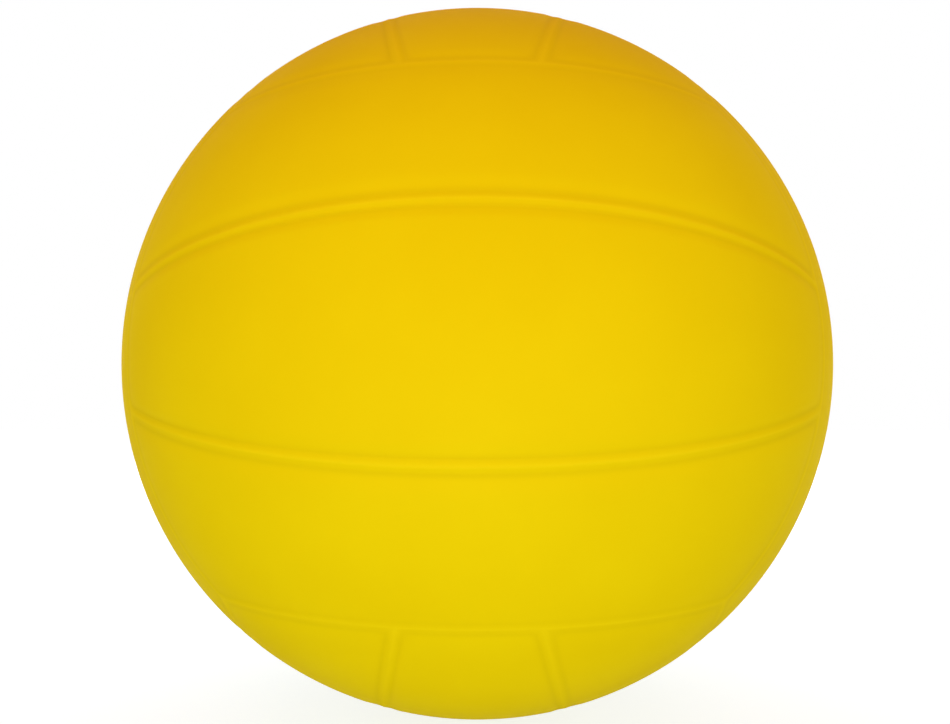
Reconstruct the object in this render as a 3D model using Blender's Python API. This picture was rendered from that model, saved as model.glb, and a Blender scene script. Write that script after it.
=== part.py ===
"""Volleyball with eighteen bonded cover panels, built up in layers as a moulded ball is.

From the outside in: cover panels, a rubber carcass whose raised ribs show between the panels, thread winding,
bladder, and the valve. The ball's centre is the origin, +Z is up and the valve is on +Y, at the back.
"""

import math

import bmesh
import bpy
import numpy as np

# Driving dimensions, in metres and degrees.
BALL_DIAMETER = 0.210
MIDDLE_PANEL_ANGLE = 28.6

PANEL_THICKNESS = 0.0016
CARCASS_THICKNESS = 0.0006
WINDING_THICKNESS = 0.0005
BLADDER_THICKNESS = 0.0008
LAYER_GAP = 0.0003

RIB_CREST_WIDTH = 0.0028
RIB_FLANK_WIDTH = 0.00015
RIB_SETBACK = 0.0001
RIB_SHOULDER_DROP = 0.00016
GROOVE_FLOOR_WIDTH = 0.0003
LIP_WIDTH = 0.0030
LIP_DROP = 0.00026

CORE_HEAD_DIAMETER = 0.0062
CORE_HEAD_HEIGHT = 0.0012
CORE_HEAD_CHAMFER = 0.0003
CORE_SHANK_DIAMETER = 0.0046
CORE_TIP_DIAMETER = 0.0036
CORE_LENGTH = 0.0150
CORE_TIP_ROUND = 0.0008
NEEDLE_CHANNEL_DIAMETER = 0.0016
NEEDLE_LEAD_IN = 0.0006
SLIT_LENGTH = 0.0024
SLIT_WIDTH = 0.0003
SLIT_DEPTH = 0.0040

VALVE_RECESS = 0.0004
STEM_WALL = 0.0009
BARREL_WALL = 0.0020
BARREL_FLOOR = 0.0012
AIR_HOLE_DIAMETER = 0.0030
FLANGE_DIAMETER = 0.0300
FLANGE_THICKNESS = 0.0012
PATCH_DIAMETER = 0.0380
PATCH_THICKNESS = 0.0005
VALVE_GAP = 0.0003

# Facet counts. A panel is ACROSS by 3 x ACROSS, because its long side meets three panel ends.
ACROSS = 4
TURNED_SIDES = 24
SHELL_RINGS = 11
DISC_RINGS = 2
SMOOTH_BELOW = math.radians(25)
MERGE_DISTANCE = 1e-6

# Radii of the layers, from the outside in.
BALL_R = BALL_DIAMETER / 2
PANEL_INNER_R = BALL_R - PANEL_THICKNESS
BED_R = PANEL_INNER_R - LAYER_GAP
RIB_CREST_R = BALL_R - RIB_SETBACK
RIB_SHOULDER_R = RIB_CREST_R - RIB_SHOULDER_DROP

# Distances from a seam's centre line, along the surface.
RIB_SHOULDER = RIB_CREST_WIDTH / 2
RIB_FOOT = RIB_SHOULDER + RIB_FLANK_WIDTH
PANEL_EDGE = RIB_FOOT + GROOVE_FLOOR_WIDTH
PANEL_CROWN_EDGE = PANEL_EDGE + LIP_WIDTH

# Valve radii and heights along +Y, worked out from the core.
CORE_HEAD_R = CORE_HEAD_DIAMETER / 2
CORE_SHANK_R = CORE_SHANK_DIAMETER / 2
CORE_TIP_R = CORE_TIP_DIAMETER / 2
NEEDLE_R = NEEDLE_CHANNEL_DIAMETER / 2
COUNTERBORE_R = CORE_HEAD_R + VALVE_GAP
BORE_R = CORE_SHANK_R + VALVE_GAP
STEM_R = COUNTERBORE_R + STEM_WALL
BARREL_R = BORE_R + BARREL_WALL
VALVE_HOLE_R = STEM_R + VALVE_GAP
VALVE_TOP = BALL_R - VALVE_RECESS
CORE_SEAT = VALVE_TOP - CORE_HEAD_HEIGHT
COUNTERBORE_FLOOR = CORE_SEAT - VALVE_GAP
CORE_TIP = VALVE_TOP - CORE_LENGTH
BORE_FLOOR = CORE_TIP - VALVE_GAP
BARREL_END = BORE_FLOOR - BARREL_FLOOR
CUTTER_END = BALL_R + VALVE_HOLE_R

# Each face's axes: s along its strips, t across them, n outwards. Left and right are a viewer's who faces +Y.
FACES = {
    "front": ((1, 0, 0), (0, 0, 1), (0, -1, 0)),
    "back": ((-1, 0, 0), (0, 0, 1), (0, 1, 0)),
    "top": ((0, -1, 0), (1, 0, 0), (0, 0, 1)),
    "bottom": ((0, 1, 0), (1, 0, 0), (0, 0, -1)),
    "right": ((0, 0, -1), (0, 1, 0), (1, 0, 0)),
    "left": ((0, 0, 1), (0, 1, 0), (-1, 0, 0)),
}
STRIPS = {
    "front": ("lower", "middle", "upper"),
    "back": ("lower", "middle", "upper"),
    "top": ("left", "middle", "right"),
    "bottom": ("left", "middle", "right"),
    "right": ("front", "middle", "rear"),
    "left": ("front", "middle", "rear"),
}

# On a ball of radius 1 a face is where n is at least CUBE and t at most CUBE either way: the planes of the
# inscribed cube. Two planes through the s axis cut it into three strips. An edge is the plane that holds the
# points with t cos(tilt) - n sin(tilt) = height.
CUBE = 1 / math.sqrt(3)
SEAM_TILT = math.radians(MIDDLE_PANEL_ANGLE / 2)
STRIP_EDGES = ((0, -CUBE), (-SEAM_TILT, 0), (SEAM_TILT, 0), (0, CUBE))


def steps_along():
    """Fractions along a panel's long side, with a point where each seam of the next face ends on it."""
    joint = math.asin(math.tan(SEAM_TILT) / math.sqrt(2)) / math.radians(90)
    stops = (0, 0.5 - joint, 0.5 + joint, 1)
    parts = [np.linspace(a, b, ACROSS + 1)[:-1] for a, b in zip(stops, stops[1:])]
    return np.append(np.concatenate(parts), 1.0)


ALONG = steps_along()


def edge_arc(tilt, height, end_n):
    """The arc of one edge plane between the two end planes n = end_n, with the t of its ends."""
    radius = math.sqrt(1 - height**2)
    end_t = (height + end_n * math.sin(tilt)) / math.cos(tilt)
    end_s = math.sqrt(1 - end_t**2 - end_n**2)
    turn = (2 * ALONG - 1) * math.asin(end_s / radius)
    across = np.array((0, math.cos(tilt), -math.sin(tilt)))
    outward = np.array((0, math.sin(tilt), math.cos(tilt)))
    points = height * across + radius * np.cos(turn)[:, None] * outward
    points[:, 0] = radius * np.sin(turn)
    return points, end_t


def end_arc(sign, end_n, low_t, high_t):
    """The arc across a strip's end, in the plane n = end_n, on the side of +s or -s."""
    radius = math.sqrt(1 - end_n**2)
    turn = np.linspace(math.asin(low_t / radius), math.asin(high_t / radius), ACROSS + 1)
    return np.stack((sign * radius * np.cos(turn), radius * np.sin(turn), np.full_like(turn, end_n)), axis=1)


def strip_grid(strip, inset):
    """Directions of a strip's surface points in its face's axes, its four edges moved in by a distance."""
    angle = inset / BALL_R
    (low_tilt, low_height), (high_tilt, high_height) = STRIP_EDGES[strip : strip + 2]
    end_n = math.sin(math.asin(CUBE) + angle)
    low, low_t = edge_arc(low_tilt, math.sin(math.asin(low_height) + angle), end_n)
    high, high_t = edge_arc(high_tilt, math.sin(math.asin(high_height) - angle), end_n)
    start = end_arc(-1, end_n, low_t, high_t)
    stop = end_arc(1, end_n, low_t, high_t)
    u = ALONG[:, None, None]
    v = np.linspace(0, 1, ACROSS + 1)[None, :, None]
    between_sides = (1 - v) * low[:, None] + v * high[:, None]
    between_ends = (1 - u) * start[None] + u * stop[None]
    corners = (1 - u) * ((1 - v) * low[0] + v * high[0]) + u * ((1 - v) * low[-1] + v * high[-1])
    points = between_sides + between_ends - corners
    return points / np.linalg.norm(points, axis=2, keepdims=True)


def panel_grid(face, strip, inset):
    """The same points as directions from the ball's centre."""
    return strip_grid(strip, inset) @ np.array(FACES[face], float)


def facet_share(grid):
    """How near the centre the facets of a grid come, as a share of its radius."""
    diagonals = (grid[1:, 1:] + grid[:-1, :-1]) / 2, (grid[1:, :-1] + grid[:-1, 1:]) / 2
    return min(float(np.linalg.norm(middle, axis=2).min()) for middle in diagonals)


def add_grid(bm, points, flip=False):
    """Quads over a grid of points, and the vertices around its border in order."""
    rows = [[bm.verts.new(p) for p in row] for row in points]
    for near, far in zip(rows, rows[1:]):
        for i in range(len(near) - 1):
            corners = (near[i], far[i], far[i + 1], near[i + 1])
            bm.faces.new(corners[::-1] if flip else corners)
    return border(rows)


def border(rows):
    """What lies around the border of a grid, in order."""
    first = list(rows[0])[:-1]
    right = [row[-1] for row in rows[:-1]]
    last = list(rows[-1])[:0:-1]
    left = [row[0] for row in rows[:0:-1]]
    return first + right + last + left


def add_ring(bm, points, inner):
    """A ring of vertices around a grid's border, joined to the ring inside it."""
    ring = [bm.verts.new(p) for p in border(points)]
    join_rings(bm, inner, ring)
    return ring


def join_rings(bm, inner, outer):
    for i in range(len(inner)):
        after = (i + 1) % len(inner)
        bm.faces.new((inner[i], inner[after], outer[after], outer[i]))


def material(name, colour, roughness):
    """A Principled material with a linear colour."""
    made = bpy.data.materials.new(name)
    made.use_nodes = True
    shader = made.node_tree.nodes["Principled BSDF"]
    shader.inputs["Base Color"].default_value = (*colour, 1)
    shader.inputs["Roughness"].default_value = roughness
    shader.inputs["Metallic"].default_value = 0
    return made


def add_object(name, bm, finish, at=(0, 0, 0)):
    """An object made from a bmesh, its normals out, and its faces split so that nested layers fold alike."""
    bmesh.ops.recalc_face_normals(bm, faces=bm.faces)
    bmesh.ops.triangulate(bm, faces=bm.faces, quad_method="SHORT_EDGE")
    mesh = bpy.data.meshes.new(name)
    bm.to_mesh(mesh)
    bm.free()
    mesh.shade_smooth()
    mesh.set_sharp_from_angle(angle=SMOOTH_BELOW)
    if finish:
        mesh.materials.append(material(name, *finish))
    made = bpy.data.objects.new(name, mesh)
    made.location = at
    bpy.context.scene.collection.objects.link(made)
    return made


def add_cutter(name, bm):
    cutter = add_object(name, bm, None)
    cutter.hide_render = True
    cutter.display_type = "WIRE"
    return cutter


def cut(target, cutter):
    boolean = target.modifiers.new(cutter.name, "BOOLEAN")
    boolean.operation = "DIFFERENCE"
    boolean.object = cutter


def turned(profile):
    """A closed outline of (radius, height) points turned about the Y axis, without its runs on the axis."""
    bm = bmesh.new()
    points = [bm.verts.new((radius, height, 0)) for radius, height in profile]
    pairs = zip(points, points[1:] + points[:1])
    edges = [bm.edges.new((a, b)) for a, b in pairs if a.co.x > 0 or b.co.x > 0]
    turn = {"cent": (0, 0, 0), "axis": (0, 1, 0), "angle": math.tau, "steps": TURNED_SIDES}
    bmesh.ops.spin(bm, geom=points + edges, use_merge=True, **turn)
    bmesh.ops.remove_doubles(bm, verts=bm.verts, dist=MERGE_DISTANCE)
    return bm


def pole_arc(radius, angles):
    """Profile points on a sphere about the origin, at angles from the +Y axis."""
    return [(radius * math.sin(angle), radius * math.cos(angle)) for angle in angles]


def angle_of(distance, radius):
    """The angle from the +Y axis at which a sphere is this far from the axis."""
    return math.asin(distance / radius)


def disc_angles(radius, inner, outer):
    """Angles of the rings of a disc that lies on a sphere round the valve, from its hole to its edge."""
    return np.linspace(angle_of(inner, radius), angle_of(outer, radius), DISC_RINGS + 1)


def shell_arc(radius):
    """Outline of a whole layer: finer at the valve's patch, then even rings to the far pole, on the axis."""
    near = disc_angles(radius, VALVE_HOLE_R, PATCH_DIAMETER / 2)
    far = np.linspace(near[-1], math.pi, SHELL_RINGS + 1)[1:-1]
    return pole_arc(radius, [*near, *far]) + [(0, -radius)]


def add_shell(name, outer_r, inner_r, finish):
    """A layer of the ball: a thin turned shell, open round the valve."""
    return add_object(name, turned(shell_arc(outer_r) + shell_arc(inner_r)[::-1]), finish)


# Finishes: linear colour and roughness.
YELLOW_COVER = ((0.90, 0.62, 0.004), 0.42)
YELLOW_RUBBER = ((0.88, 0.60, 0.004), 0.46)
WHITE_NYLON = ((0.72, 0.70, 0.64), 0.70)
BLACK_BUTYL = ((0.012, 0.012, 0.013), 0.55)
GREY_PATCH = ((0.10, 0.10, 0.11), 0.75)
DARK_RUBBER = ((0.022, 0.022, 0.024), 0.50)


def add_panel(face, strip):
    """A cover panel: a crowned sheet with a rolled-over lip, on the bed between the ribs."""
    bm = bmesh.new()
    crown = add_grid(bm, BALL_R * panel_grid(face, strip, PANEL_CROWN_EDGE))
    edge = panel_grid(face, strip, PANEL_EDGE)
    lip = add_ring(bm, (BALL_R - LIP_DROP) * edge, crown)
    floor = add_grid(bm, PANEL_INNER_R * edge, flip=True)
    join_rings(bm, lip, floor)
    return add_object(f"{face}_{STRIPS[face][strip]}_panel", bm, YELLOW_COVER)


def add_carcass():
    """The rubber shell under the cover: a bed for each panel, with a rib standing up along every seam."""
    bm = bmesh.new()
    for face in FACES:
        for strip in range(len(STRIPS[face])):
            bed = add_grid(bm, BED_R * panel_grid(face, strip, RIB_FOOT))
            shoulder = add_ring(bm, RIB_SHOULDER_R * panel_grid(face, strip, RIB_SHOULDER), bed)
            add_ring(bm, RIB_CREST_R * panel_grid(face, strip, 0), shoulder)
    bmesh.ops.remove_doubles(bm, verts=bm.verts, dist=MERGE_DISTANCE)
    return add_object("carcass", bm, YELLOW_RUBBER)


def add_cavity_cutter(radius):
    """The space inside the carcass, with the valve's way out through the back."""
    neck = [(0, CUTTER_END), (VALVE_HOLE_R, CUTTER_END)]
    return add_cutter("cavity_cutter", turned(neck + shell_arc(radius)))


def add_hole_cutter():
    """A cylinder through the cover at the valve, turned half a side so that it misses the panel's corners."""
    outline = [(0, CORE_TIP), (VALVE_HOLE_R, CORE_TIP), (VALVE_HOLE_R, CUTTER_END), (0, CUTTER_END)]
    cutter = add_cutter("valve_hole_cutter", turned(outline))
    cutter.rotation_euler.y = math.pi / TURNED_SIDES
    return cutter


def add_valve_patch(outer_r):
    """The reinforcing disc inside the bladder, round the valve's stem."""
    inner_r = outer_r - PATCH_THICKNESS
    upper = pole_arc(outer_r, disc_angles(outer_r, VALVE_HOLE_R, PATCH_DIAMETER / 2))
    lower = pole_arc(inner_r, disc_angles(inner_r, VALVE_HOLE_R, PATCH_DIAMETER / 2))
    return add_object("valve_patch", turned(upper + lower[::-1]), GREY_PATCH)


def add_valve_housing(flange_r):
    """The valve's seat: a stem through the layers, a flange under the patch, a barrel in the bladder."""
    under_r = flange_r - FLANGE_THICKNESS
    upper = pole_arc(flange_r, disc_angles(flange_r, STEM_R, FLANGE_DIAMETER / 2))
    lower = pole_arc(under_r, disc_angles(under_r, BARREL_R, FLANGE_DIAMETER / 2))
    profile = [
        (COUNTERBORE_R, VALVE_TOP),
        (STEM_R, VALVE_TOP),
        *upper,
        *lower[::-1],
        (BARREL_R, BARREL_END),
        (AIR_HOLE_DIAMETER / 2, BARREL_END),
        (AIR_HOLE_DIAMETER / 2, BORE_FLOOR),
        (BORE_R, BORE_FLOOR),
        (BORE_R, COUNTERBORE_FLOOR),
        (COUNTERBORE_R, COUNTERBORE_FLOOR),
    ]
    return add_object("valve_housing", turned(profile), DARK_RUBBER)


def add_valve_core():
    """The valve plug, with its origin on the axis it is pulled out along, at the seat under its head."""
    top = CORE_HEAD_HEIGHT
    tip = top - CORE_LENGTH
    channel_end = tip + SLIT_DEPTH
    profile = [
        (0, channel_end),
        (NEEDLE_R, channel_end),
        (NEEDLE_R, top - NEEDLE_LEAD_IN),
        (NEEDLE_R + NEEDLE_LEAD_IN, top),
        (CORE_HEAD_R - CORE_HEAD_CHAMFER, top),
        (CORE_HEAD_R, top - CORE_HEAD_CHAMFER),
        (CORE_HEAD_R, 0),
        (CORE_SHANK_R, 0),
        (CORE_TIP_R, tip + CORE_TIP_ROUND),
        (CORE_TIP_R - CORE_TIP_ROUND, tip),
        (0, tip),
    ]
    core = add_object("valve_core", turned(profile), DARK_RUBBER, at=(0, CORE_SEAT, 0))
    slit = bmesh.new()
    bmesh.ops.create_cube(slit, size=1)
    bmesh.ops.scale(slit, verts=slit.verts, vec=(SLIT_LENGTH, 2 * SLIT_DEPTH, SLIT_WIDTH))
    cutter = add_cutter("lip_slit_cutter", slit)
    cutter.location = (0, CORE_TIP + SLIT_DEPTH / 2, 0)
    cut(core, cutter)
    return core


def build():
    for old in list(bpy.data.objects):
        bpy.data.objects.remove(old, do_unlink=True)

    hole_cutter = add_hole_cutter()
    for face in FACES:
        for strip in range(len(STRIPS[face])):
            panel = add_panel(face, strip)
            if panel.name == "back_middle_panel":
                cut(panel, hole_cutter)

    beds = (strip_grid(strip, RIB_FOOT) for strip in range(len(STRIP_EDGES) - 1))
    cavity_r = BED_R * min(facet_share(grid) for grid in beds) - CARCASS_THICKNESS
    cut(add_carcass(), add_cavity_cutter(cavity_r))

    winding_r = cavity_r - LAYER_GAP
    bladder_r = winding_r - WINDING_THICKNESS - LAYER_GAP
    bladder_inner_r = bladder_r - BLADDER_THICKNESS
    add_shell("thread_winding", winding_r, winding_r - WINDING_THICKNESS, WHITE_NYLON)
    add_shell("bladder", bladder_r, bladder_inner_r, BLACK_BUTYL)

    patch_r = bladder_inner_r - LAYER_GAP
    add_valve_patch(patch_r)
    add_valve_housing(patch_r - PATCH_THICKNESS - LAYER_GAP)
    add_valve_core()


build()
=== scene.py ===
# Eighteen-panel volleyball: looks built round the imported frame. All sizes are in metres.
import math

import bmesh
import bpy
import numpy as np
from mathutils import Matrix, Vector


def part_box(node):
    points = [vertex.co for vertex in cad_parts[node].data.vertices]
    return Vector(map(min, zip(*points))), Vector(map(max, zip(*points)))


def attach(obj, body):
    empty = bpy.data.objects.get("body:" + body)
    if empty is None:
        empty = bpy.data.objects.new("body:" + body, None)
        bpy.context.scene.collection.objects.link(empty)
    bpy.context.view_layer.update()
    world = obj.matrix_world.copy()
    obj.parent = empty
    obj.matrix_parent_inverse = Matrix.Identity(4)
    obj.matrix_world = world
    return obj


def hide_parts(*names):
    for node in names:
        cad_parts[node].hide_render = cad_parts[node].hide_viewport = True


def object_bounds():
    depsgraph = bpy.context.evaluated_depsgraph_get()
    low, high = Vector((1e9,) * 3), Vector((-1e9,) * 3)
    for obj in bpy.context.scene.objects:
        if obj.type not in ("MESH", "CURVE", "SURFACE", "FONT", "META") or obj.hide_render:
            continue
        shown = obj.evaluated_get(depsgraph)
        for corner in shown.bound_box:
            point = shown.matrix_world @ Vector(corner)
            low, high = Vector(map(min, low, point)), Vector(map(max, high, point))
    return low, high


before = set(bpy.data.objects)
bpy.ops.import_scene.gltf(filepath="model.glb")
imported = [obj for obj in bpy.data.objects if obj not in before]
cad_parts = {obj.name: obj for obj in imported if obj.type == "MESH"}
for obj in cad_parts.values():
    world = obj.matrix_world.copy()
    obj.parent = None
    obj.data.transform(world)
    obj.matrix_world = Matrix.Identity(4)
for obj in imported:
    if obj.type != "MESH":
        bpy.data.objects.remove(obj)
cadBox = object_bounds()
mm = 0.001

# The ball's layout: a cube's six faces, three strips on each, drawn on the sphere round it.
ball = {
    "radius": (cadBox[1].z - cadBox[0].z) / 2,
    "middlePanelAngle": 28.6,  # degrees from seam to seam, seen from the ball's centre
    "across": 24,  # grid steps over a panel's width, with three times as many along it
    "panelThickness": 1.6 * mm,
    "bedGap": 0.3 * mm,  # glue between a panel and its bed
    "carcassWall": 0.9 * mm,
}
faceAxes = {  # s along the strips, t across them, n outwards
    "front": ((1, 0, 0), (0, 0, 1), (0, -1, 0)),
    "back": ((-1, 0, 0), (0, 0, 1), (0, 1, 0)),
    "top": ((0, -1, 0), (1, 0, 0), (0, 0, 1)),
    "bottom": ((0, 1, 0), (1, 0, 0), (0, 0, -1)),
    "right": ((0, 0, -1), (0, 1, 0), (1, 0, 0)),
    "left": ((0, 0, 1), (0, 1, 0), (-1, 0, 0)),
}
stripNames = {  # from low t to high t
    "front": ("lower", "middle", "upper"),
    "back": ("lower", "middle", "upper"),
    "top": ("left", "middle", "right"),
    "bottom": ("left", "middle", "right"),
    "right": ("front", "middle", "rear"),
    "left": ("front", "middle", "rear"),
}
valvePanel = ("back", "middle")
radius = ball["radius"]
cubePlane = 1 / math.sqrt(3)  # the cube's faces, on the unit sphere through its corners
seamTilt = math.radians(ball["middlePanelAngle"]) / 2
# Tilt and height of the planes that bound a face's strips, from low t to high t.
stripEdges = ((0, -cubePlane), (-seamTilt, 0), (seamTilt, 0), (0, cubePlane))

# A strip's long side is cut where the next face's seams land on it, so that borders share their points.
# Both cuts lie this share of the side away from its middle.
landing = math.asin(math.tan(seamTilt) / math.sqrt(2)) / math.radians(90)
stops = (0, 0.5 - landing, 0.5 + landing, 1)
across = np.linspace(0, 1, ball["across"] + 1)
along = np.concatenate([a + (b - a) * across[:-1] for a, b in zip(stops, stops[1:])] + [[1]])
gridIndex = np.arange(len(along) * len(across)).reshape(len(along), len(across))


def longArc(tilt, height, endHeight):
    # Circle where the plane t cos(tilt) - n sin(tilt) = height cuts the unit sphere,
    # between its two cuts by the plane n = endHeight.
    reach = math.sqrt(1 - height**2)
    endT = (height + endHeight * math.sin(tilt)) / math.cos(tilt)
    turn = (2 * along - 1) * math.asin(math.sqrt(1 - endT**2 - endHeight**2) / reach)
    middle = height * np.array((0, math.cos(tilt), -math.sin(tilt)))
    outwards = np.array((0, math.sin(tilt), math.cos(tilt)))
    return middle + reach * (np.outer(np.cos(turn), outwards) + np.outer(np.sin(turn), (1, 0, 0)))


def shortArc(side, endHeight, lowT, highT):
    # Circle where the plane n = endHeight cuts the unit sphere, from t = lowT to highT,
    # with s on the given side.
    reach = math.sqrt(1 - endHeight**2)
    lowTurn = math.asin(lowT / reach)
    turn = lowTurn + (math.asin(highT / reach) - lowTurn) * across
    return np.stack((side * reach * np.cos(turn), reach * np.sin(turn), np.full(len(turn), endHeight)), -1)


def stripGrid(strip, inset):
    # Coons patch of a strip drawn in by inset: long arcs blended, plus ends blended, less corners blended,
    # with each point then set to length 1.
    shift = inset / radius
    endHeight = math.sin(math.asin(cubePlane) + shift)
    (lowTilt, lowHeight), (highTilt, highHeight) = stripEdges[strip : strip + 2]
    low = longArc(lowTilt, math.sin(math.asin(lowHeight) + shift), endHeight)[:, None]
    high = longArc(highTilt, math.sin(math.asin(highHeight) - shift), endHeight)[:, None]
    start = shortArc(-1, endHeight, low[0, 0, 1], high[0, 0, 1])[None]
    stop = shortArc(1, endHeight, low[-1, 0, 1], high[-1, 0, 1])[None]
    u = along[:, None, None]
    v = across[None, :, None]
    sides = (1 - v) * low + v * high
    ends = (1 - u) * start + u * stop
    corners = (1 - u) * ((1 - v) * low[0] + v * high[0]) + u * ((1 - v) * low[-1] + v * high[-1])
    patch = (sides + ends - corners).reshape(-1, 3)
    return patch / np.linalg.norm(patch, axis=1, keepdims=True)


def borderOf(block):
    # Indices round a block of grid points, anticlockwise seen from outside the ball.
    return np.concatenate((block[:-1, 0], block[-1, :-1], block[:0:-1, -1], block[0, :0:-1]))


def gridFaces(keep=None):
    # One face per grid square, anticlockwise seen from outside the ball, or only those that keep marks.
    g = gridIndex
    faces = np.stack((g[:-1, :-1], g[1:, :-1], g[1:, 1:], g[:-1, 1:]), -1).reshape(-1, 4)
    return faces if keep is None else faces[keep.ravel()]


def bridge(loops):
    # Faces between each closed loop of point indices and the next one in the list.
    loops = np.asarray(loops)
    ahead = np.roll(loops, -1, axis=1)
    return np.stack((loops[:-1], ahead[:-1], ahead[1:], loops[1:]), -1).reshape(-1, 4)


sharpEdge = math.radians(40)  # edges that turn by more are shown sharp
sameSpot = 1e-6  # points closer than this are merged


def newPiece(name, points, faces, material, merge=False, **marks):
    # A mesh from whole arrays: unused points dropped, marks kept as point attributes,
    # and doubles merged if asked.
    used, faces = np.unique(faces, return_inverse=True)
    faces = faces.reshape(-1, 4)
    mesh = bpy.data.meshes.new(name)
    mesh.vertices.add(len(used))
    mesh.vertices.foreach_set("co", points[used].astype(np.float32).ravel())
    mesh.loops.add(faces.size)
    mesh.loops.foreach_set("vertex_index", faces.ravel().astype(np.int32))
    mesh.polygons.add(len(faces))
    mesh.polygons.foreach_set("loop_start", np.arange(0, faces.size, 4, dtype=np.int32))
    mesh.update(calc_edges=True)
    for mark, values in marks.items():
        attribute = mesh.attributes.new(mark, "FLOAT", "POINT")
        attribute.data.foreach_set("value", values[used].astype(np.float32))
    if merge:
        shape = bmesh.new()
        shape.from_mesh(mesh)
        bmesh.ops.remove_doubles(shape, verts=shape.verts, dist=sameSpot)
        bmesh.ops.recalc_face_normals(shape, faces=shape.faces)
        shape.to_mesh(mesh)
        shape.free()
    mesh.shade_smooth()
    mesh.set_sharp_from_angle(angle=sharpEdge)
    mesh.materials.append(material)
    piece = bpy.data.objects.new(name, mesh)
    bpy.context.scene.collection.objects.link(piece)
    return piece


# Materials
colourA, colourB, colourOut = 6, 7, 2  # a Mix node's sockets when it mixes colours


def hexColour(text):
    # sRGB hex to linear: the lowest values divided by 12.92, the rest by the 2.4 power law.
    values = np.array([int(text[i : i + 2], 16) for i in (1, 3, 5)]) / 255
    return (*np.where(values <= 0.04045, values / 12.92, ((values + 0.055) / 1.055) ** 2.4), 1)


def addNode(tree, kind, values=None, links=None, **settings):
    # A node with its settings, its fixed inputs, and its inputs from other nodes.
    node = tree.nodes.new("ShaderNode" + kind)
    for key, value in settings.items():
        setattr(node, key, value)
    for socket, value in (values or {}).items():
        node.inputs[socket].default_value = value
    for socket, source in (links or {}).items():
        tree.links.new(source, node.inputs[socket])
    return node


def newMaterial(name, **values):
    # A Principled material with its constants set, and the Object coordinates that its patterns read.
    material = bpy.data.materials.new(name)
    material.use_nodes = True
    shader = material.node_tree.nodes["Principled BSDF"]
    for socket, value in values.items():
        shader.inputs[socket.replace("_", " ")].default_value = value
    place = addNode(material.node_tree, "TexCoord").outputs["Object"]
    return material, material.node_tree, shader, place


def perMetre(size):
    return 1 / size  # a texture's scale, from the size of its features


def grained(tree, place, look):
    # Fine grain: soft noise of the grain's size, as a bump of the grain's height.
    noise = {"Scale": perMetre(look["grainSize"]), "Detail": look["grainDetail"]}
    grain = addNode(tree, "TexNoise", noise, {"Vector": place})
    relief = {"Strength": 1.0, "Distance": look["grainHeight"]}
    return addNode(tree, "Bump", relief, {"Height": grain.outputs["Fac"]}).outputs[0]


# Soft vinyl from a polished mould: one strong yellow with a silky, very broad sheen, faintly cloudy,
# with painted shade a breath deeper in the grooves and a painted highlight a little paler on the crests.
vinyl = {
    "yellow": "#F4D404",
    "cloud": "#F2D103",
    # painted shade: a darker yellow laid into the grooves, where shade falls
    "groove": "#EDCC03",
    # painted highlight: a paler yellow laid on the bead's crests
    "crest": "#F6D608",
    "cloudSize": 30 * mm,
    "cloudDetail": 3.0,  # octaves of finer noise, here and below
    "cloudEdges": (0.35, 0.65),  # noise values where the clouds' colour starts and is full
    "glossEdges": (0.3, 0.7),  # and where their roughness does
    "grainSize": 1.1 * mm,  # the real grain is near 0.2 mm, too fine to show, so it is drawn coarser
    "grainHeight": 0.002 * mm,
    "grainDetail": 2.0,
    "roughness": (0.60, 0.66),
    "specular": 0.015,
    "ior": 1.53,
}
# Carcass rubber, vulcanised in the same mould and colour: its ribs look like the panels, a bit more matt.
rubber = {**vinyl, "roughness": (0.63, 0.70)}


def moulded(name, look):
    # Yellow mixed with its clouds, then with the crests' painted highlight and the grooves' painted shade
    # by the mesh's seam marks; the clouds also set the roughness.
    material, tree, shader, place = newMaterial(name, IOR=look["ior"], Specular_IOR_Level=look["specular"])
    noise = {"Scale": perMetre(look["cloudSize"]), "Detail": look["cloudDetail"]}
    clouds = addNode(tree, "TexNoise", noise, {"Vector": place}).outputs["Fac"]
    first, full = look["cloudEdges"]
    soft = addNode(tree, "MapRange", {"From Min": first, "From Max": full}, {"Value": clouds})
    body = addNode(tree, "Mix", {colourA: hexColour(look["yellow"]), colourB: hexColour(look["cloud"])},
                   {0: soft.outputs[0]}, data_type="RGBA")
    # painted highlight on the bead's crest, from the mesh's mask
    onCrest = addNode(tree, "Attribute", attribute_name="onCrest").outputs["Fac"]
    paintedHighlight = addNode(tree, "Mix", {colourB: hexColour(look["crest"])},
                     {0: onCrest, colourA: body.outputs[colourOut]}, data_type="RGBA")
    # painted shade in the grooves, from the mesh's mask
    inSeam = addNode(tree, "Attribute", attribute_name="inSeam").outputs["Fac"]
    colour = addNode(tree, "Mix", {colourB: hexColour(look["groove"])},
                     {0: inSeam, colourA: paintedHighlight.outputs[colourOut]}, data_type="RGBA")
    first, full = look["glossEdges"]
    low, high = look["roughness"]
    gloss = addNode(tree, "MapRange", {"From Min": first, "From Max": full, "To Min": low, "To Max": high},
                    {"Value": clouds})
    tree.links.new(colour.outputs[colourOut], shader.inputs["Base Color"])
    tree.links.new(gloss.outputs[0], shader.inputs["Roughness"])
    tree.links.new(grained(tree, place, look), shader.inputs["Normal"])
    return material


coverVinyl = moulded("coverVinyl", vinyl)
carcassRubber = moulded("carcassRubber", rubber)

# Soft moulded valve rubber: near black with a low satin, and a grey bloom in faint patches.
valveLook = {
    "dark": "#26262A",
    "bloom": "#34343A",
    "bloomSize": 2.4 * mm,
    "bloomDetail": 4.0,
    "bloomEdges": (0.45, 0.7),  # noise values where the bloom starts and is full
    "grainSize": 0.25 * mm,
    "grainHeight": 0.004 * mm,
    "grainDetail": 2.0,
    "roughness": (0.46, 0.62),
    "specular": 0.35,
    "ior": 1.52,
}
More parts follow.
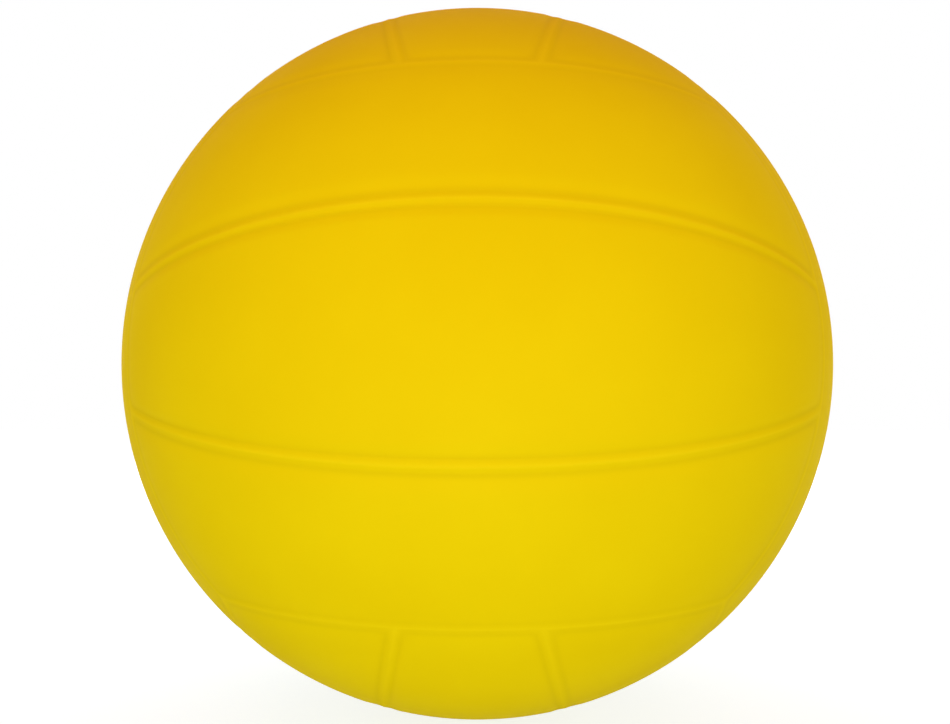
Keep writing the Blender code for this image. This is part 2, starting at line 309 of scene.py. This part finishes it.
# Dipped butyl bladder: black, matt, dusted with talc that keeps it from sticking.
bladderLook = {
    **valveLook,
    "dark": "#1F1F21",
    "bloom": "#4A4948",
    "bloomSize": 14 * mm,
    "grainSize": 0.8 * mm,
    "grainHeight": 0.02 * mm,
    "roughness": (0.7, 0.92),
    "specular": 0.2,
}


def bloomed(name, look):
    # Two tones in soft clouds, rougher where the bloom lies, over a fine grain.
    material, tree, shader, place = newMaterial(name, IOR=look["ior"], Specular_IOR_Level=look["specular"])
    noise = {"Scale": perMetre(look["bloomSize"]), "Detail": look["bloomDetail"]}
    clouds = addNode(tree, "TexNoise", noise, {"Vector": place}).outputs["Fac"]
    first, full = look["bloomEdges"]
    patchy = addNode(tree, "MapRange", {"From Min": first, "From Max": full}, {"Value": clouds}).outputs[0]
    colour = addNode(tree, "Mix", {colourA: hexColour(look["dark"]), colourB: hexColour(look["bloom"])},
                     {0: patchy}, data_type="RGBA")
    low, high = look["roughness"]
    gloss = addNode(tree, "MapRange", {"To Min": low, "To Max": high}, {"Value": patchy})
    tree.links.new(colour.outputs[colourOut], shader.inputs["Base Color"])
    tree.links.new(gloss.outputs[0], shader.inputs["Roughness"])
    tree.links.new(grained(tree, place, look), shader.inputs["Normal"])
    return material


# Wound nylon thread: off-white strands that cross at many angles, matt, with brown latex between them.
windingLook = {
    "thread": "#D9D3C4",
    "latex": "#8C7A58",
    "spacing": 1.6 * mm,
    "relief": 0.12 * mm,
    "turns": ((0, 0, 0), (63, 20, 35), (-58, 15, 110), (30, 75, 160)),  # degrees, one row per winding axis
    "roughness": 0.75,
}
# Patch of rubberised cloth: grey, matt, with the square weave pressed through.
patchLook = {
    "thread": "#5E5E62",
    "latex": "#3C3C40",
    "spacing": 1.0 * mm,
    "relief": 0.06 * mm,
    "turns": ((0, 0, 0), (0, 90, 0)),
    "roughness": 0.82,
}
strand = {
    "waveStretch": math.pi / 10,  # a wave texture of scale 1 repeats every pi / 10
    "wander": {"Distortion": 0.6, "Detail Scale": 0.4},  # how the strands stray from straight lines
    "shownEdges": (0.55, 0.9),  # strand heights where latex ends and thread begins
    "specular": 0.25,
}


def stranded(name, look):
    # Bands of round strands, each set turned its own way; the highest strand at a point is the one
    # that shows.
    material, tree, shader, place = newMaterial(
        name, Roughness=look["roughness"], Specular_IOR_Level=strand["specular"])
    waves = {"Scale": perMetre(look["spacing"]) * strand["waveStretch"], **strand["wander"]}
    height = None
    for turns in look["turns"]:
        rotation = [math.radians(angle) for angle in turns]
        laid = addNode(tree, "Mapping", {"Rotation": rotation}, {"Vector": place})
        bands = addNode(tree, "TexWave", waves, {"Vector": laid.outputs[0]}).outputs["Fac"]
        if height is None:
            height = bands
        else:
            height = addNode(tree, "Math", {}, {0: height, 1: bands}, operation="MAXIMUM").outputs[0]
    first, full = strand["shownEdges"]
    shown = addNode(tree, "MapRange", {"From Min": first, "From Max": full}, {"Value": height})
    colour = addNode(tree, "Mix", {colourA: hexColour(look["latex"]), colourB: hexColour(look["thread"])},
                     {0: shown.outputs[0]}, data_type="RGBA")
    bump = addNode(tree, "Bump", {"Strength": 1.0, "Distance": look["relief"]}, {"Height": height})
    tree.links.new(colour.outputs[colourOut], shader.inputs["Base Color"])
    tree.links.new(bump.outputs[0], shader.inputs["Normal"])
    return material


valveRubber = bloomed("valveRubber", valveLook)
bladderButyl = bloomed("bladderButyl", bladderLook)
windingNylon = stranded("windingNylon", windingLook)
patchCloth = stranded("patchCloth", patchLook)
print("materials made")

# Seams: a low bead between two fine grooves, and panels that roll down into the grooves.
seam = {
    "groove": 1.7 * mm,  # from the seam's centre line to the bottom of each groove
    "faceDepth": 0.24 * mm,  # of the grooves below the crowns, between two strips of the front and the back
    "crossDepth": 0.16 * mm,  # between two strips of the other faces
    "endDepth": 0.12 * mm,  # along the strips' ends
    "sideDepth": 0.09 * mm,  # along a face's outer sides
    "wideLip": 4.0 * mm,  # over which the outer panels and all ends roll down
    "narrowLip": 2.6 * mm,  # and the long sides of the middle panels
    "beadSetback": 0.05 * mm,  # of the bead's crest below the panels' crowns
    "beadReach": 0.85 * mm,  # half the width of the bead's bell
    "bondLine": 0.006 * mm,  # hairline between bead and panel
    "cornerBlend": 0.5 * mm,  # softness where two seams meet
    "onLine": 1e-9,  # a distance below this lies on the seam itself
    # the grooves' deeper colour is painted shade
    "shadeReach": 0.75 * mm,  # how far the grooves' deeper colour spreads
    # the bead's paler colour is a painted highlight
    "crestReach": 0.45 * mm,  # and the bead's paler one
    "lipSteps": (0, 0.03, 0.08, 0.14, 0.21, 0.3, 0.41, 0.53, 0.67, 0.83, 1.0),  # rings over the lip's width
    "beadSteps": (0.95, 0.87, 0.77, 0.64, 0.46, 0.24, 0),  # and from the groove up to the bead's crest
}


def softLeast(values, blend):
    # Smallest of each column, rounded off where two are close: -blend ln(sum of exp(-value / blend)).
    return -blend * np.log(np.exp(-values / blend).sum(0))


def seamDistances(directions, strip):
    # Arc lengths to the strip's two long borders and to the nearer of its ends.
    t, n = directions.T[1:]
    heights = [t * math.cos(tilt) - n * math.sin(tilt) for tilt, _ in stripEdges[strip : strip + 2]]
    low = np.arcsin(heights[0]) - math.asin(stripEdges[strip][1])
    high = math.asin(stripEdges[strip + 1][1]) - np.arcsin(heights[1])
    end = np.arcsin(n) - math.asin(cubePlane)
    return radius * np.stack((low, high, end))


def grooveDepth(distances, face, strip):
    # Depths of the grooves along the strip's two sides and its ends, weighted by exp(-distance / blend).
    between = seam["faceDepth"] if face in ("front", "back") else seam["crossDepth"]
    low = seam["sideDepth"] if strip == 0 else between
    high = seam["sideDepth"] if strip == 2 else between
    depths = np.array((low, high, seam["endDepth"]))
    weights = np.exp((distances.min(0) - distances) / seam["cornerBlend"])
    return depths @ weights / weights.sum(0)


def lipHeight(distances, face, strip):
    # The panel's roll: half a cosine wave, from the bottom of the groove up to the crown,
    # over the lip's width.
    sideLip = seam["narrowLip"] if strip == 1 else seam["wideLip"]
    widths = np.array((sideLip, sideLip, seam["wideLip"]))[:, None]
    part = softLeast((distances - seam["groove"]) / widths, seam["cornerBlend"] / seam["wideLip"])
    return -grooveDepth(distances, face, strip) * (1 + np.cos(math.pi * np.clip(part, 0, 1))) / 2


def fromCrest(distances):
    # Distance to the nearest seam, rounded off at corners and exactly 0 on the seams themselves.
    nearest = distances.min(0)
    smooth = np.maximum(softLeast(distances, seam["cornerBlend"]), 0)
    return np.where(nearest < seam["onLine"], 0, smooth)


def beadHeight(distances, face, strip):
    # The bead: a bell curve, exp(-(distance / reach)^2), from its crest down to the bottom of the groove.
    bell = np.exp(-((fromCrest(distances) / seam["beadReach"]) ** 2))
    depth = grooveDepth(distances, face, strip)
    return -depth + (depth - seam["beadSetback"]) * bell


def seamMarks(distances, face, strip):
    # Bell curves for the materials: the painted shade is highest at the bottom of a groove, in step with
    # its depth, and the painted highlight is 1 on top of the bead.
    distance = fromCrest(distances)
    share = grooveDepth(distances, face, strip) / seam["faceDepth"]
    inSeam = share * np.exp(-(((distance - seam["groove"]) / seam["shadeReach"]) ** 2))
    onCrest = np.exp(-((distance / seam["crestReach"]) ** 2))
    return np.stack((inSeam, onCrest))


def borderRings(face, strip, insets, heightOf):
    # For each inset, the strip's border drawn in by it, raised to the height that heightOf gives there,
    # and the seam marks of its points.
    rings, marks = [], []
    for inset in insets:
        directions = stripGrid(strip, inset)[borderOf(gridIndex)]
        distances = seamDistances(directions, strip)
        rings.append(directions * (radius + heightOf(distances, face, strip))[:, None])
        marks.append(seamMarks(distances, face, strip))
    return rings, marks


# The valve's hole, through the middle panel of the back.
valve = {
    "hole": 4.6 * mm,  # radius through the cover and the layers
    "rim": 0.6 * mm,  # rounding of the cover's edge
    "rimSteps": 6,
    "flat": 0.8 * mm,  # plain ring of grid round the rim
    "block": 4,  # grid squares to each side that make way for the hole
    "upperParts": (0.33, 0.67),  # rings between the block's border and that plain ring
    "lowerParts": (0, 0.5),  # rings underneath, between the hole and the block's border
}
holeRow = (len(along) - 1) // 2
holeColumn = (len(across) - 1) // 2
holeRows = slice(holeRow - valve["block"], holeRow + valve["block"] + 1)
holeColumns = slice(holeColumn - valve["block"], holeColumn + valve["block"] + 1)
holeBlock = gridIndex[holeRows, holeColumns]
aroundHole = np.ones((len(along) - 1, len(across) - 1), bool)
aroundHole[holeRows.start : holeRows.stop - 1, holeColumns.start : holeColumns.stop - 1] = False


def holeRings(upper, lower, rim):
    # Loops from the upper grid's block to a round hole, over its rounded rim, a quarter circle, down it
    # and out to the lower grid's block.
    upperEdge = upper[borderOf(holeBlock)]
    lowerEdge = lower[borderOf(holeBlock)]
    turn = np.arctan2(upperEdge[:, 1], upperEdge[:, 0])
    round2d = np.stack((np.cos(turn), np.sin(turn)), -1)

    def ring(reach, height):
        return np.concatenate((reach * round2d, np.full((len(turn), 1), height)), -1)

    top = np.linalg.norm(upperEdge[0])
    bottom = np.linalg.norm(lowerEdge[0])
    wide = valve["hole"] + rim + valve["flat"]
    outer = ring(wide, math.sqrt(top**2 - wide**2))
    rings = [upperEdge + (outer - upperEdge) * part for part in valve["upperParts"]] + [outer]
    rimAngles = np.linspace(0, math.pi / 2, valve["rimSteps"]) if rim else (0,)
    for angle in rimAngles:
        reach = valve["hole"] + rim * (1 - math.sin(angle))
        rings.append(ring(reach, math.sqrt(top**2 - reach**2) - rim * (1 - math.cos(angle))))
    inner = ring(valve["hole"], math.sqrt(bottom**2 - valve["hole"] ** 2))
    rings += [inner + (lowerEdge - inner) * part for part in valve["lowerParts"]]
    return rings


def shellCell(face, upper, lower, outerRings, hole, rim, wallEdge):
    # One panel or bed: an upper grid, rings round it, and a lower grid, with the valve's hole where asked.
    # Where wallEdge is true, the last ring runs down to the lower grid's border and closes the cell.
    points = [upper, lower, *outerRings]
    starts = np.cumsum([0] + [len(p) for p in points])
    border = borderOf(gridIndex)
    loops = [border] + [start + np.arange(len(border)) for start in starts[2:-1]]
    if wallEdge:
        loops.append(starts[1] + border)
    keep = aroundHole if hole else None
    faces = [gridFaces(keep), starts[1] + gridFaces(keep)[:, ::-1], bridge(loops[::-1])]
    if hole:
        rings = holeRings(upper, lower, rim)
        count = len(rings[0])
        inner = [starts[-1] + i * count + np.arange(count) for i in range(len(rings))]
        faces.append(bridge([borderOf(holeBlock), *inner, starts[1] + borderOf(holeBlock)]))
        points += rings
    return np.concatenate(points) @ np.array(faceAxes[face], float), np.concatenate(faces)


def marksFor(upper, lower, ringMarks, count):
    # The seam marks of a cell's points in order: none on its grids and on the points of its valve hole.
    plain = len(upper) + len(lower)
    marks = np.concatenate(ringMarks, axis=1)
    return np.pad(marks, ((0, 0), (plain, count - plain - marks.shape[1])))


def coverPanel(face, strip):
    # Crown grid at the ball's radius, the rolled lip as rings, a straight edge, and the underside.
    stripName = stripNames[face][strip]
    name = f"{face}_{stripName}"
    edge = seam["groove"] + seam["bondLine"] / 2
    insets = edge + seam["wideLip"] * np.array(seam["lipSteps"])[::-1]
    crown = radius * stripGrid(strip, insets[0])
    under = (radius - ball["panelThickness"]) * stripGrid(strip, edge)
    rings, marks = borderRings(face, strip, insets[1:], lipHeight)
    hole = (face, stripName) == valvePanel
    points, faces = shellCell(face, crown, under, rings, hole, valve["rim"], True)
    inSeam, onCrest = marksFor(crown, under, marks, len(points))
    panel = newPiece("cover_" + name, points, faces, coverVinyl, inSeam=inSeam, onCrest=onCrest)
    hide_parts(name + "_panel")
    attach(panel, "ball")


def seamCarcass():
    # Under each panel a bed; from its border a straight flank and the bead's rings up to the seam's
    # centre line; a smooth inside.
    bedRadius = radius - ball["panelThickness"] - ball["bedGap"]
    insideRadius = bedRadius - ball["carcassWall"]
    foot = seam["groove"] - seam["bondLine"] / 2
    insets = foot * np.array((1, *seam["beadSteps"]))
    allPoints, allFaces, allMarks = [], [], []
    for face in faceAxes:
        for strip, stripName in enumerate(stripNames[face]):
            bed = bedRadius * stripGrid(strip, foot)
            inside = insideRadius * stripGrid(strip, 0)
            rings, marks = borderRings(face, strip, insets, beadHeight)
            hole = (face, stripName) == valvePanel
            points, faces = shellCell(face, bed, inside, rings, hole, 0, False)
            allFaces.append(faces + sum(map(len, allPoints)))
            allPoints.append(points)
            allMarks.append(marksFor(bed, inside, marks, len(points)))
    inSeam, onCrest = np.concatenate(allMarks, axis=1)
    carcass = newPiece("seam_carcass", np.concatenate(allPoints), np.concatenate(allFaces), carcassRubber,
                       merge=True, inSeam=inSeam, onCrest=onCrest)
    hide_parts("carcass")
    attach(carcass, "ball")


for face in faceAxes:
    for strip in range(len(stripNames[face])):
        coverPanel(face, strip)
print("cover panels made")
seamCarcass()
print("carcass made")

# Turned pieces on the valve's axis, which is +Y: outlines are distances from the axis and heights along it.
layers = {
    "turns": 128,  # steps round the axis
    "arc": 72,  # steps over a whole layer, from the valve to the far side
    "patchArc": 12,  # and over the patch
    "cornerSteps": 6,  # points of a rounded corner
    "sharpest": 1e-7,  # radius that stands in for none at a corner
    "windingWall": 0.5 * mm,
    "bladderWall": 0.8 * mm,
    "patchWall": 0.5 * mm,
    "gap": 0.3 * mm,
}


def turned(name, outline, material, node, body="ball", closed=True):
    # Each outline point carried round the axis: x and z are its distance times cosine and sine,
    # and y is its height.
    turn = np.linspace(0, 2 * math.pi, layers["turns"], endpoint=False)
    reach, height = np.asarray(outline).T
    points = np.stack((np.outer(reach, np.cos(turn)), np.tile(height[:, None], len(turn)),
                       np.outer(reach, np.sin(turn))), -1).reshape(-1, 3)
    loops = np.arange(len(points)).reshape(-1, len(turn))
    faces = bridge(np.concatenate((loops, loops[:1])) if closed else loops)
    piece = newPiece(name, points, faces, material, merge=True)
    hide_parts(node)
    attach(piece, body)
    return piece


def shellArc(sphere, start, stop, steps):
    # Points of a circle round the ball's centre, between two distances from the valve's axis,
    # or from the first one to the far side where stop is None.
    lastAngle = math.pi if stop is None else math.asin(stop / sphere)
    angle = np.linspace(math.asin(start / sphere), lastAngle, steps)
    return np.stack((sphere * np.sin(angle), sphere * np.cos(angle)), -1)


def rounded(corners):
    # Corners (distance, height, radius) of a closed outline, each swapped for an arc: it touches both sides
    # radius / tan(half the corner) away, and its centre lies radius / sin(half the corner) along
    # the bisector.
    corners = np.array(corners)
    spot, size = corners[:, :2], np.maximum(corners[:, 2:], layers["sharpest"])
    back = np.roll(spot, 1, axis=0) - spot
    ahead = np.roll(spot, -1, axis=0) - spot
    back /= np.linalg.norm(back, axis=1, keepdims=True)
    ahead /= np.linalg.norm(ahead, axis=1, keepdims=True)
    half = np.arccos(np.clip((back * ahead).sum(1, keepdims=True), -1, 1)) / 2
    bisector = (back + ahead) / np.linalg.norm(back + ahead, axis=1, keepdims=True)
    centre = spot + bisector * size / np.sin(half)
    fromSpoke = (spot + back * size / np.tan(half) - centre)[:, None]
    toSpoke = (spot + ahead * size / np.tan(half) - centre)[:, None]
    sweep = (math.pi - 2 * half)[:, None]
    part = np.linspace(0, 1, layers["cornerSteps"])[None, :, None]
    arcs = (np.sin((1 - part) * sweep) * fromSpoke + np.sin(part * sweep) * toSpoke) / np.sin(sweep)
    return (centre[:, None] + arcs).reshape(-1, 2)


def layerShell(name, node, material, outer, wall):
    # A whole round layer: outside from the far side to the valve's hole, and the inside back.
    outside = shellArc(outer, valve["hole"], None, layers["arc"])[::-1]
    inside = shellArc(outer - wall, valve["hole"], None, layers["arc"])
    turned(name, np.concatenate((outside, inside)), material, node, closed=False)


windingOuter = -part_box("thread_winding")[0].y
layerShell("wound_thread", "thread_winding", windingNylon, windingOuter,
           layers["windingWall"])
bladderOuter = -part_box("bladder")[0].y
layerShell("air_bladder", "bladder", bladderButyl, bladderOuter, layers["bladderWall"])

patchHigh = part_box("valve_patch")[1]
patchOuter = math.hypot(patchHigh.y, valve["hole"])
patchInner = patchOuter - layers["patchWall"]
patchTop = shellArc(patchOuter, valve["hole"], patchHigh.x, layers["patchArc"])
patchUnder = shellArc(patchInner, valve["hole"], patchHigh.x, layers["patchArc"])[::-1]
turned("bladder_patch", np.concatenate((patchTop, patchUnder)), patchCloth, "valve_patch")
print("layers made")

# Valve: a flanged seat that the bladder is bonded to, and the plug that a needle goes through.
seat = {
    "stem": 4.3 * mm,  # radius above the flange
    "barrel": 4.6 * mm,  # radius below it
    "bore": 2.6 * mm,  # radius that the plug fills
    "mouth": 3.4 * mm,  # radius that the plug's head sits in
    "airHole": 1.5 * mm,  # radius through the floor
    "mouthDepth": 1.5 * mm,
    "floor": 1.2 * mm,
    "flangeWall": 1.2 * mm,
    "edgeRound": 0.2 * mm,  # of the small inner edges
    "lipRound": 0.45 * mm,  # of the stem's outer lip
    "stemRound": 0.5 * mm,  # where the stem meets the flange
    "flangeRound": 0.4 * mm,  # of the flange's rim
    "barrelRound": 0.8 * mm,  # where the barrel meets the flange
    "endRound": 0.7 * mm,  # of the barrel's end
    "boreRound": 0.3 * mm,  # at the foot of the bore
}
housingLow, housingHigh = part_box("valve_housing")
seatTop, seatEnd, flangeRim = housingHigh.y, housingLow.y, housingHigh.x
flangeTop = patchInner - layers["gap"]
flangeUnder = flangeTop - seat["flangeWall"]
flangeMiddle = (seat["stem"] + flangeRim) / 2
seatFloor = seatEnd + seat["floor"]
mouthFloor = seatTop - seat["mouthDepth"]


def onSphere(reach, sphere):
    # A point at this distance from the axis, on a sphere: its height is the root of sphere^2 - reach^2.
    return reach, math.sqrt(sphere**2 - reach**2)


seatCorners = [
    (seat["mouth"], seatTop, seat["edgeRound"]),
    (seat["stem"], seatTop, seat["lipRound"]),
    (*onSphere(seat["stem"], flangeTop), seat["stemRound"]),
    (*onSphere(flangeMiddle, flangeTop), 0),
    (*onSphere(flangeRim, flangeTop), seat["flangeRound"]),
    (*onSphere(flangeRim, flangeUnder), seat["flangeRound"]),
    (*onSphere(flangeMiddle, flangeUnder), 0),
    (*onSphere(seat["barrel"], flangeUnder), seat["barrelRound"]),
    (seat["barrel"], seatEnd, seat["endRound"]),
    (seat["airHole"], seatEnd, seat["edgeRound"]),
    (seat["airHole"], seatFloor, seat["edgeRound"]),
    (seat["bore"], seatFloor, seat["boreRound"]),
    (seat["bore"], mouthFloor, seat["edgeRound"]),
    (seat["mouth"], mouthFloor, seat["edgeRound"]),
]
turned("valve_seat", rounded(seatCorners), valveRubber, "valve_housing")

plug = {
    "headHeight": 1.2 * mm,
    "shank": 2.3 * mm,  # radius under the head
    "tip": 1.8 * mm,  # radius at the tip
    "channel": 0.8 * mm,  # radius of the needle's channel
    "leadIn": 0.6 * mm,  # funnel at its mouth
    "headRound": 0.45 * mm,
    "underRound": 0.2 * mm,  # of the head's underside
    "shankRound": 0.25 * mm,  # where the shank meets the head
    "tipRound": 0.8 * mm,
    "channelRound": 0.3 * mm,  # at the channel's end and below its funnel
    "funnelRound": 0.25 * mm,
    "slitDepth": 4.0 * mm,  # from the tip up to the channel
    "slitLength": 2.4 * mm,
    "slitWidth": 0.3 * mm,
    "slitRunIn": 0.2 * mm,  # how far the cut goes past the channel's end
    "slitRunOut": 1.0 * mm,  # and past the tip
}
coreLow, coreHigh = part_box("valve_core")
plugTop, plugTip, plugHead = coreHigh.y, coreLow.y, coreHigh.x
channelEnd = plugTip + plug["slitDepth"]
headUnder = plugTop - plug["headHeight"]
plugCorners = [
    (0, plugTip, 0),
    (0, channelEnd, 0),
    (plug["channel"], channelEnd, plug["channelRound"]),
    (plug["channel"], plugTop - plug["leadIn"], plug["channelRound"]),
    (plug["channel"] + plug["leadIn"], plugTop, plug["funnelRound"]),
    (plugHead, plugTop, plug["headRound"]),
    (plugHead, headUnder, plug["underRound"]),
    (plug["shank"], headUnder, plug["shankRound"]),
    (plug["tip"], plugTip, plug["tipRound"]),
]
# The first two corners lie on the axis, so the outline starts at the last point of the second one
# and ends at the tip's centre.
plugOutline = np.concatenate((rounded(plugCorners)[2 * layers["cornerSteps"] - 1 :], [(0, plugTip)]))
plugCore = turned("valve_plug_core", plugOutline, valveRubber, "valve_core", "valve_plug",
                  closed=False)


def cutSlit(piece):
    # The slit that seals the needle's channel: a thin block taken out of the tip, up to the channel.
    x, z = plug["slitLength"] / 2, plug["slitWidth"] / 2
    outline = [(-x, -z), (x, -z), (x, z), (-x, z)]
    ends = (plugTip - plug["slitRunOut"], channelEnd + plug["slitRunIn"])
    corners = [(a, y, b) for y in ends for a, b in outline]
    sides = [(0, 1, 5, 4), (1, 2, 6, 5), (2, 3, 7, 6), (3, 0, 4, 7), (3, 2, 1, 0), (4, 5, 6, 7)]
    block = bpy.data.objects.new("slitBlock", bpy.data.meshes.new("slitBlock"))
    block.data.from_pydata(corners, [], sides)
    shape = bmesh.new()
    shape.from_mesh(block.data)
    bmesh.ops.recalc_face_normals(shape, faces=shape.faces)
    shape.to_mesh(block.data)
    shape.free()
    bpy.context.scene.collection.objects.link(block)
    cut = piece.modifiers.new("slit", "BOOLEAN")
    cut.object = block
    bpy.context.view_layer.update()
    whole = piece.data
    piece.data = bpy.data.meshes.new_from_object(piece.evaluated_get(bpy.context.evaluated_depsgraph_get()))
    piece.modifiers.clear()
    piece.data.set_sharp_from_angle(angle=sharpEdge)
    bpy.data.meshes.remove(whole)
    bpy.data.objects.remove(block)


cutSlit(plugCore)
print("valve made")

# Studio
camera = {
    "distance": 243.0 * mm,  # from the ball's centre
    "azimuth": 1.13,  # degrees to the right of the front face's middle
    "elevation": -3.55,  # degrees above its middle
    "lens": 28.15,  # in millimetres, as the sensor's width is
    "sensor": 36,
    "nearest": 10 * mm,  # what is closer isn't drawn
    "imageWidth": 950,
    "ballRight": 2.3,  # pixels that the ball sits right of and below the picture's middle
    "ballBelow": 1.7,
}
turn = math.radians(camera["azimuth"])
lift = math.radians(camera["elevation"])
towards = Vector((math.sin(turn) * math.cos(lift), -math.cos(turn) * math.cos(lift), math.sin(lift)))
lensData = bpy.data.cameras.new("camera")
lensData.lens = camera["lens"]
lensData.sensor_width = camera["sensor"]
lensData.clip_start = camera["nearest"]
lensData.shift_x = -camera["ballRight"] / camera["imageWidth"]
lensData.shift_y = camera["ballBelow"] / camera["imageWidth"]
viewer = bpy.data.objects.new("camera", lensData)
viewer.location = camera["distance"] * towards
viewer.rotation_euler = towards.to_track_quat("Z", "Y").to_euler()
bpy.context.scene.collection.objects.link(viewer)
bpy.context.scene.camera = viewer

# Soft boxes aimed at the ball: place, width, height, watts, colour, and whether gloss shows them.
lamps = {
    "underBox": ((0.0, -0.85, -0.34), 1.8, 0.4, 7.1, "#F2FFFF", True),
    "frontBox": ((0.0, -0.8, 0.0), 1.6, 0.14, 1.44, "#FFEDDA", True),
    "highBox": ((0.0, -0.55, 0.95), 1.4, 0.6, 3.95, "#FF8640", True),
    "leftRearBox": ((-0.85, 0.75, 0.15), 0.8, 0.7, 6.0, "#FFFFFF", False),
    "rightRearBox": ((0.85, 0.75, 0.15), 0.8, 0.7, 7.0, "#FFEDDA", False),
    "highRearBox": ((0.0, 0.85, 0.75), 1.6, 0.6, 5.2, "#FFF3E6", False),
}
for name, (place, width, height, watts, colour, inGloss) in lamps.items():
    lampData = bpy.data.lights.new(name, "AREA")
    lampData.shape = "RECTANGLE"
    lampData.size = width
    lampData.size_y = height
    lampData.energy = watts
    lampData.color = hexColour(colour)[:3]
    lampData.cycles.use_multiple_importance_sampling = False  # it would lose light that crosses the floor
    lamp = bpy.data.objects.new(name, lampData)
    lamp.location = place
    lamp.rotation_euler = Vector(place).to_track_quat("Z", "Y").to_euler()
    lamp.visible_camera = False
    lamp.visible_glossy = inGloss  # from behind, gloss would turn the ball's rim white
    bpy.context.scene.collection.objects.link(lamp)

studio = {
    "floorSize": 6.0,
    "floorPaper": "#95A5BC",  # a cool paper, which the warm lamps turn neutral
    "floorGlow": 0.8,  # what the floor shows the camera in full shadow, with 1 as white
    "fadeFrom": 0.25,  # where the floor starts to turn plain white, and where it has
    "fadeTo": 0.7,
    "ambient": 0.22,
    "ambientColour": "#FFFBF7",
    "white": "#FFFFFF",
}


def seenWhite(tree):
    # 1 for rays from the camera, from gloss and through clear things, 0 for those that carry light
    # between surfaces.
    path = addNode(tree, "LightPath").outputs
    seen = path["Is Camera Ray"]
    for other in ("Is Glossy Ray", "Is Transmission Ray"):
        seen = addNode(tree, "Math", {}, {0: seen, 1: path[other]}, operation="MAXIMUM").outputs[0]
    return seen


world = bpy.data.worlds.new("studio")
world.use_nodes = True
bpy.context.scene.world = world
tree = world.node_tree
tree.nodes.clear()
ambient = {"Color": hexColour(studio["ambientColour"]), "Strength": studio["ambient"]}
room = addNode(tree, "Background", ambient)
white = addNode(tree, "Background", {"Color": hexColour(studio["white"]), "Strength": 1.0})
mixed = addNode(tree, "MixShader", {}, {0: seenWhite(tree), 1: room.outputs[0], 2: white.outputs[0]})
addNode(tree, "OutputWorld", {}, {"Surface": mixed.outputs[0]})

# Matt floor paper that takes the ball's shadow. It also glows, more so further out, until it is white.
paper = bpy.data.materials.new("paperFloor")
paper.use_nodes = True
tree = paper.node_tree
tree.nodes.clear()
plain = addNode(tree, "BsdfDiffuse", {"Color": hexColour(studio["floorPaper"])})
place = addNode(tree, "TexCoord").outputs["Object"]
away = addNode(tree, "VectorMath", {}, {0: place}, operation="LENGTH")
glowRange = {"From Min": studio["fadeFrom"], "From Max": studio["fadeTo"], "To Min": studio["floorGlow"]}
fade = addNode(tree, "MapRange", glowRange, {"Value": away.outputs["Value"]},
               interpolation_type="SMOOTHSTEP")
glow = addNode(tree, "Emission", {"Color": hexColour(studio["white"])}, {"Strength": fade.outputs[0]})
shownGlow = addNode(tree, "MixShader", {}, {0: seenWhite(tree), 2: glow.outputs[0]})
mixed = addNode(tree, "AddShader", {}, {0: plain.outputs[0], 1: shownGlow.outputs[0]})
addNode(tree, "OutputMaterial", {}, {"Surface": mixed.outputs[0]})
half = studio["floorSize"] / 2
corners = [(half * x, half * y, -radius) for x, y in ((-1, -1), (1, -1), (1, 1), (-1, 1))]
floorMesh = bpy.data.meshes.new("floor")
floorMesh.from_pydata(corners, [], [(0, 1, 2, 3)])
floorMesh.materials.append(paper)
floor = bpy.data.objects.new("floor", floorMesh)
bpy.context.scene.collection.objects.link(floor)
floor.visible_shadow = False  # a light table: the lamp under it shines through
bpy.context.scene.view_settings.view_transform = "Standard"
print("studio made")
